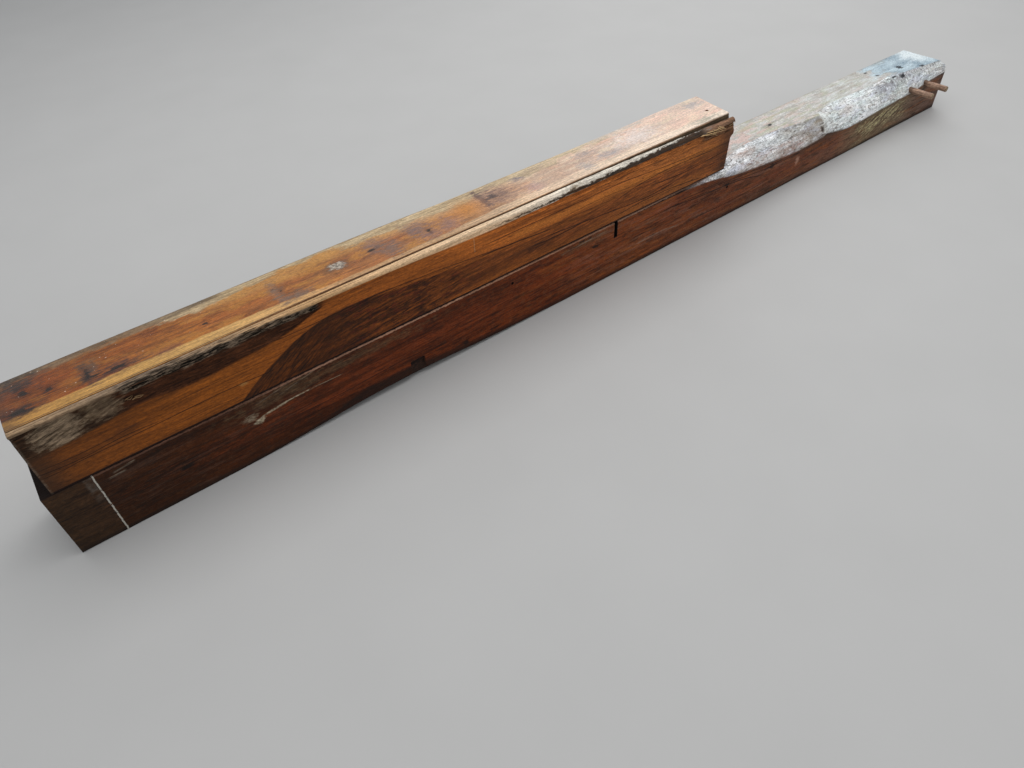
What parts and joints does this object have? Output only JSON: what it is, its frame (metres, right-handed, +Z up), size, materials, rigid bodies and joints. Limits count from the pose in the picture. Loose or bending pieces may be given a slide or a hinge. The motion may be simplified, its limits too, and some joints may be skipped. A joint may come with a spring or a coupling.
{
  "type": "decorative beam",
  "caption": "Reclaimed oiled timber beam: a short timber laid flush on a long one, with a waney arris, a saw kerf, a rotted hollow and wooden pegs",
  "frame": {"origin": "Middle of the long timber's underside, on the level floor that it lies on", "axes": "+X along the beam towards the pegged far end, -Y out of the front face that both timbers share, +Z up"},
  "size_m": [3.6, 0.282, 0.385],
  "materials": {
    "long_timber_wood": "oiled, weathered grey on the wane",
    "short_timber_wood": "oiled satin",
    "peg_wood": "bare, weathered"
  },
  "bodies": {
    "root": {"long_timber": "long_timber_wood", "short_timber": "short_timber_wood", "peg_near": "peg_wood", "peg_far": "peg_wood"}
  },
  "joints": []
}
